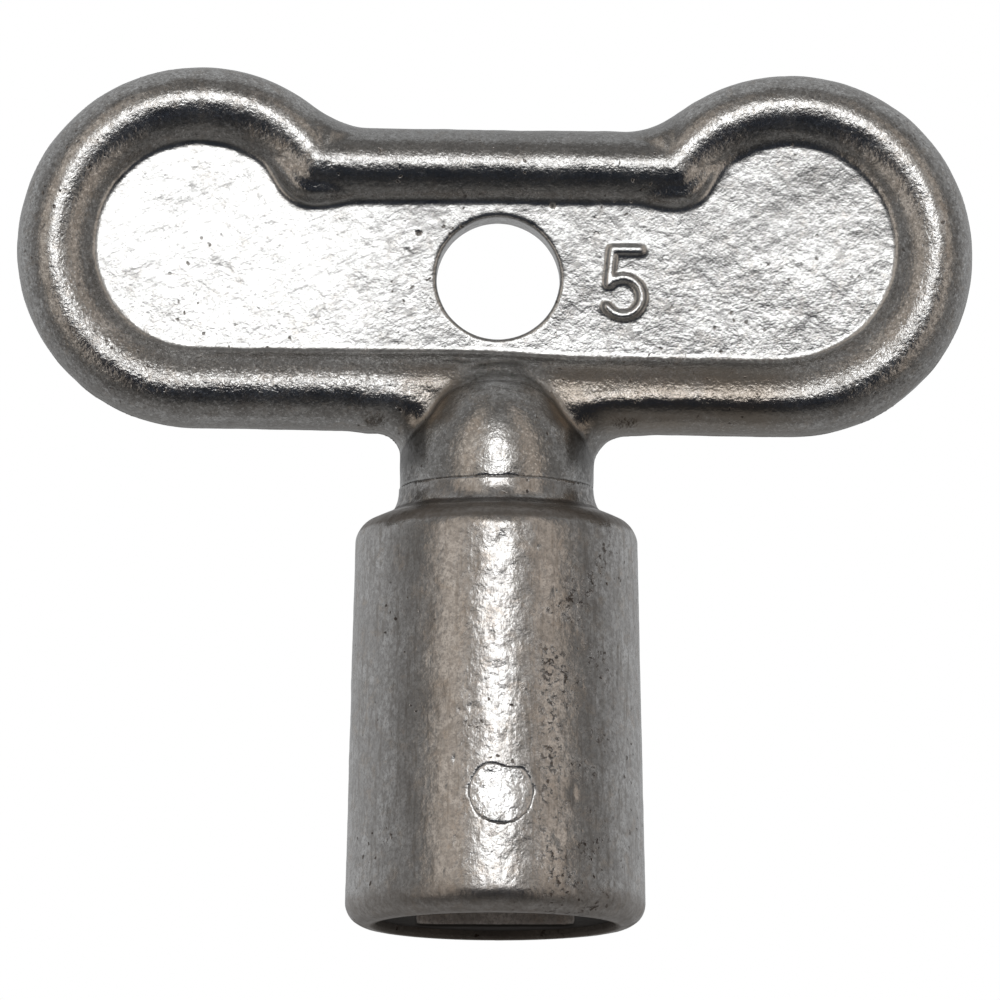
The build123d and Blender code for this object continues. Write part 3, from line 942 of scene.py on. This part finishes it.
# ------------------------------------------------------------------ pieces
make_piece(
    "bow_handle_cast", "bow_handle", bow_field, (-16.4, -3.5, 9.3), (16.4, 3.5, 29.0),
    masks=(("web", web_mask), ("crease", crease_mask), ("cheek", cheek_mask)),
)
make_piece(
    "barrel_cast", "barrel", barrel_field, (-5.3, -5.3, -0.3), (5.3, 5.3, 14.9),
    around=barrel_body,
)
make_piece(
    "socket_insert_steel", "socket_insert", insert_field, (-4.2, -4.2, 0.0), (4.2, 4.2, 9.6)
)
make_piece(
    "locking_pin_end", "locking_pin", pin_field, (-1.3, -5.2, 2.7), (1.3, -2.5, 5.4),
    pitch=STEP * 0.6,
)

for name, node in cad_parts.items():
    node.data.materials.clear()
    node.data.materials.append(MATERIALS[name])


# ------------------------------------------------------------------ camera
def add_camera():
    """A long lens in front, a little below the target and tilted up at it."""
    distance, elevation, roll = 500.0, math.radians(-8.0), math.radians(0.15)
    target = Vector((0.117, 0.0, 14.27)) * MM
    data = bpy.data.cameras.new("camera")
    data.sensor_width = 36.0
    data.lens = 540.9
    data.clip_start, data.clip_end = 0.01, 10.0
    camera = bpy.data.objects.new("camera", data)
    bpy.context.scene.collection.objects.link(camera)
    away = Vector((0, -math.cos(elevation), math.sin(elevation)))
    camera.location = target + away * distance * MM
    camera.rotation_mode = "QUATERNION"
    aim = (-away).to_track_quat("-Z", "Y").to_matrix()
    camera.rotation_quaternion = (aim @ Matrix.Rotation(roll, 3, "Z")).to_quaternion()
    bpy.context.scene.camera = camera


# ------------------------------------------------------------------ light
def add_studio():
    """A soft studio dome that stays with the camera.

    Angles are degrees: theta up from the lens's level, phi to the right of the lens."""
    world = bpy.data.worlds.new("studio")
    bpy.context.scene.world = world
    world.use_nodes = True
    g = Graph(world.node_tree)
    times, smooth, window, mix = g.times, g.smooth, g.window, g.mix
    ray = g.vector("NORMALIZE", g.add("ShaderNodeTexCoord").outputs["Camera"])
    right = g.vector("DOT_PRODUCT", ray, (1, 0, 0))
    up = g.vector("DOT_PRODUCT", ray, (0, 1, 0))
    toward = g.vector("DOT_PRODUCT", ray, (0, 0, -1))
    theta = times(g.math("ARCSINE", up), 180.0 / math.pi)
    phi = times(g.math("ARCTAN2", right, toward), 180.0 / math.pi)

    # room, paler behind the key
    behind = smooth(g.absolute(g.math("SUBTRACT", phi, 5.0)), (66.0, 126.0))
    behind = times(behind, smooth(theta, (-30.0, -5.0), to=(0.45, 1.0)))
    colour = mix(behind, (0.208, 0.203, 0.198), (0.445, 0.45, 0.455))
    # warm side panels
    left_side = window(phi, -62.0, -40.0, -30.0, -12.0)
    right_side = window(phi, 26.0, 38.0, 48.0, 66.0)
    tall = window(theta, -45.0, -15.0, 45.0, 75.0)
    colour = mix(times(left_side, tall), colour, (0.43, 0.37, 0.31), "ADD")
    colour = mix(times(right_side, tall), colour, (0.36, 0.30, 0.245), "ADD")
    # dark patch round the lens, and a wider one below it
    dark = times(window(theta, -44.0, -37.0, 7.0, 12.0), window(phi, -34.0, -24.0, 24.0, 34.0))
    colour = mix(times(dark, 0.96), colour, (0.020, 0.026, 0.038))
    low = times(window(theta, -66.0, -44.0, -26.0, -16.0), window(phi, -85.0, -50.0, 50.0, 85.0))
    colour = mix(times(low, 0.60), colour, (0.050, 0.048, 0.046))
    # main lamp and its glow
    lamp = times(window(theta, 12.5, 15.5, 31.0, 37.0), window(phi, -11.0, -7.5, 8.0, 12.0))
    colour = mix(lamp, colour, (2.55, 2.6, 2.65), "ADD")
    glow = times(window(theta, 6.0, 16.0, 34.0, 50.0), window(phi, -34.0, -14.0, 20.0, 38.0))
    colour = mix(glow, colour, (0.40, 0.38, 0.355), "ADD")
    # narrow unlit gaps either side of the lamp
    gaps = g.plus(window(phi, -30.0, -27.0, -23.0, -19.0), window(phi, 25.0, 29.0, 34.0, 37.0))
    gaps = times(gaps, window(theta, -10.0, 5.0, 48.0, 62.0))
    colour = mix(times(gaps, 0.35), colour, (0.045, 0.050, 0.060))

    # seen from above, the lower half of the dome is the pale floor
    spaces = {"convert_from": "WORLD", "convert_to": "CAMERA"}
    upward = g.add(
        "ShaderNodeVectorTransform", {0: (0.0, 0.0, 1.0)}, vector_type="VECTOR", **spaces
    ).outputs[0]
    above = smooth(times(g.split(upward)[2], -1.0), (0.02, 0.22))
    height = g.vector("DOT_PRODUCT", ray, upward)
    ground = smooth(height, (0.10, -0.22))
    table = mix(smooth(height, (-0.1, -0.95)), (0.46, 0.45, 0.44), (0.28, 0.275, 0.27))
    table = mix(window(phi, -40.0, -20.0, -4.0, 14.0), table, (0.42, 0.42, 0.42), "ADD")
    table = mix(times(window(phi, 24.0, 40.0, 75.0, 100.0), 0.5), table, (0.12, 0.12, 0.12))
    colour = mix(times(above, times(ground, 0.90)), colour, table)

    # the camera itself sees plain white
    camera_ray = g.add("ShaderNodeLightPath").outputs["Is Camera Ray"]
    colour = mix(camera_ray, colour, (1.0, 1.0, 1.0))
    background = g.add("ShaderNodeBackground", {"Color": colour})
    g.add("ShaderNodeOutputWorld", {0: background.outputs[0]})


# ------------------------------------------------------------------ floor
def floor_material():
    """Pale and self-lit from above, with a painted shadow from ambient occlusion and a darker middle
    near the key, clear from below.
    """
    material = bpy.data.materials.new("pale_floor")
    material.use_nodes = True
    g = Graph(material.node_tree)
    occlusion = g.add("ShaderNodeAmbientOcclusion", {"Distance": 0.02}, samples=16)
    shade = g.smooth(occlusion.outputs["AO"], (0.0, 1.0), to=(0.42, 1.0))
    geometry = g.add("ShaderNodeNewGeometry").outputs
    fade = g.smooth(g.vector("LENGTH", geometry["Position"]), (0.05, 0.30))
    tone = g.mix(fade, (0.86, 0.86, 0.85), (1.0, 1.0, 1.0))
    grey = g.mix(shade, (0.0, 0.0, 0.0), (1.0, 1.0, 1.0))
    glow = g.add("ShaderNodeEmission", {"Color": g.mix(1.0, tone, grey, "MULTIPLY")})
    clear = g.add("ShaderNodeBsdfTransparent")
    sides = {0: geometry["Backfacing"], 1: glow.outputs[0], 2: clear.outputs[0]}
    mixer = g.add("ShaderNodeMixShader", sides)
    g.add("ShaderNodeOutputMaterial", {0: mixer.outputs[0]})
    return material


def add_floor():
    """A disc just under the key that only the camera sees."""
    bpy.ops.mesh.primitive_circle_add(
        vertices=96, radius=0.6, fill_type="NGON", location=(0, 0, -0.00004)
    )
    floor = bpy.context.object
    floor.name = "floor"
    floor.data.materials.append(floor_material())
    for ray in ("diffuse", "glossy", "transmission", "volume_scatter", "shadow"):
        setattr(floor, f"visible_{ray}", False)


add_camera()
add_studio()
add_floor()

scene = bpy.context.scene
scene.view_settings.view_transform = "Standard"
scene.view_settings.look = "None"
